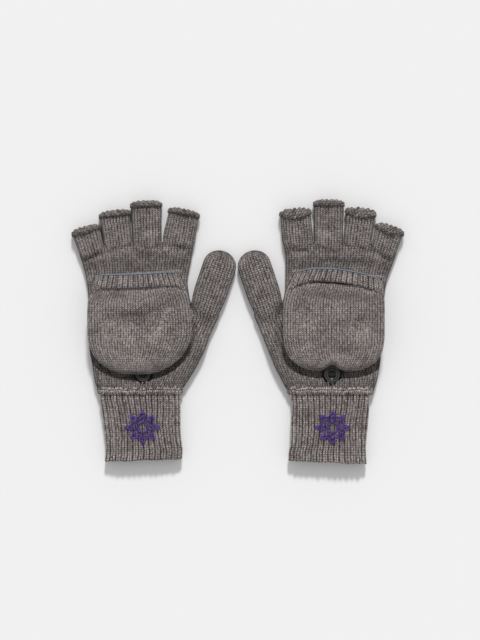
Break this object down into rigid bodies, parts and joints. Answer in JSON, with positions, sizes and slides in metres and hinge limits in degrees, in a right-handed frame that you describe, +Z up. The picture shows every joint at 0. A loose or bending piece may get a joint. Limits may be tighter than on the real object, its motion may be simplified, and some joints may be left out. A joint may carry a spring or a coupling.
{
  "type": "convertible flip-top mittens",
  "caption": "Pair of knitted half-finger mittens with closed thumbs, ribbed cuffs and hoods that fold back and hold on a button by an elastic loop.",
  "frame": {"origin": "bottom centre of the pair's bounding box, on the surface the mittens lie on", "axes": "+X to the right across the pair, +Y towards the fingertips, +Z up out of the backs of the hands"},
  "size_m": [0.3002, 0.2332, 0.0211],
  "materials": {
    "knit": "heathered taupe-grey stockinette knit",
    "rib_knit": "heathered taupe-grey rib knit",
    "band_knit": "puffy rib knit",
    "edge_yarn": "slate-blue edge yarn",
    "button_plastic": "moulded black plastic",
    "black_thread": "black sewing thread",
    "elastic": "black covered elastic cord",
    "embroidery": "violet satin-stitch thread"
  },
  "bodies": {
    "left_mitten": {"left_hand": "knit", "left_cuff": "rib_knit", "left_wrist_seam": "rib_knit", "left_hood_seam": "knit", "left_button": "button_plastic", "left_button_thread": "black_thread", "left_cuff_star": "embroidery"},
    "left_index": {"left_index_finger": "knit"},
    "left_middle": {"left_middle_finger": "knit"},
    "left_ring": {"left_ring_finger": "knit"},
    "left_little": {"left_little_finger": "knit"},
    "left_thumb": {"left_thumb": "knit"},
    "left_hood": {"left_hood_back": "knit", "left_hood_front": "knit", "left_hood_rib_band": "band_knit", "left_hood_edge_trim": "edge_yarn"},
    "left_loop": {"left_button_loop": "elastic"},
    "right_mitten": {"right_hand": "knit", "right_cuff": "rib_knit", "right_wrist_seam": "rib_knit", "right_hood_seam": "knit", "right_button": "button_plastic", "right_button_thread": "black_thread", "right_cuff_star": "embroidery"},
    "right_index": {"right_index_finger": "knit"},
    "right_middle": {"right_middle_finger": "knit"},
    "right_ring": {"right_ring_finger": "knit"},
    "right_little": {"right_little_finger": "knit"},
    "right_thumb": {"right_thumb": "knit"},
    "right_hood": {"right_hood_back": "knit", "right_hood_front": "knit", "right_hood_rib_band": "band_knit", "right_hood_edge_trim": "edge_yarn"},
    "right_loop": {"right_button_loop": "elastic"}
  },
  "joints": [
    {"name": "left_hood_flip", "type": "hinge", "parent": "left_mitten", "child": "left_hood", "pos_m": [-0.0914, 0.05315, 0.017], "axis": [-0.9978, -0.0663, 0], "range_deg": [0, 178]},
    {"name": "left_loop_swing", "type": "hinge", "parent": "left_hood", "child": "left_loop", "pos_m": [-0.0845, -0.03805, 0.0142], "axis": [-1, 0, 0], "range_deg": [0, 90]},
    {"name": "left_index_bend", "type": "hinge", "parent": "left_mitten", "child": "left_index", "pos_m": [-0.054, 0.08295, 0.012], "axis": [-0.9848, 0.1736, 0], "range_deg": [-45, 0]},
    {"name": "left_middle_bend", "type": "hinge", "parent": "left_mitten", "child": "left_middle", "pos_m": [-0.0816, 0.08115, 0.012], "axis": [-0.9976, -0.0698, 0], "range_deg": [-45, 0]},
    {"name": "left_ring_bend", "type": "hinge", "parent": "left_mitten", "child": "left_ring", "pos_m": [-0.1072, 0.08155, 0.012], "axis": [-0.9877, -0.1564, 0], "range_deg": [-45, 0]},
    {"name": "left_little_bend", "type": "hinge", "parent": "left_mitten", "child": "left_little", "pos_m": [-0.1314, 0.07535, 0.012], "axis": [-0.9563, -0.2924, 0], "range_deg": [-45, 0]},
    {"name": "left_thumb_bend", "type": "hinge", "parent": "left_mitten", "child": "left_thumb", "pos_m": [-0.02635, 0.02476, 0.012], "axis": [0.9483, -0.3173, 0], "range_deg": [0, 45]},
    {"name": "right_hood_flip", "type": "hinge", "parent": "right_mitten", "child": "right_hood", "pos_m": [0.0914, 0.05315, 0.017], "axis": [-0.9978, 0.0663, 0], "range_deg": [0, 178]},
    {"name": "right_loop_swing", "type": "hinge", "parent": "right_hood", "child": "right_loop", "pos_m": [0.0845, -0.03405, 0.0142], "axis": [-1, 0, 0], "range_deg": [0, 90]},
    {"name": "right_index_bend", "type": "hinge", "parent": "right_mitten", "child": "right_index", "pos_m": [0.054, 0.08295, 0.012], "axis": [-0.9962, -0.0872, 0], "range_deg": [-45, 0]},
    {"name": "right_middle_bend", "type": "hinge", "parent": "right_mitten", "child": "right_middle", "pos_m": [0.0816, 0.08115, 0.012], "axis": [-0.9998, 0.0175, 0], "range_deg": [-45, 0]},
    {"name": "right_ring_bend", "type": "hinge", "parent": "right_mitten", "child": "right_ring", "pos_m": [0.1072, 0.08155, 0.012], "axis": [-0.9925, 0.1219, 0], "range_deg": [-45, 0]},
    {"name": "right_little_bend", "type": "hinge", "parent": "right_mitten", "child": "right_little", "pos_m": [0.1314, 0.07535, 0.012], "axis": [-0.9563, 0.2924, 0], "range_deg": [-45, 0]},
    {"name": "right_thumb_bend", "type": "hinge", "parent": "right_mitten", "child": "right_thumb", "pos_m": [0.02635, 0.02476, 0.012], "axis": [0.9483, 0.3173, 0], "range_deg": [0, 45]},
    {"name": "right_mitten_slide", "type": "slide", "parent": "left_mitten", "child": "right_mitten", "axis": [1, 0, 0], "range_m": [0, 0.08]}
  ]
}
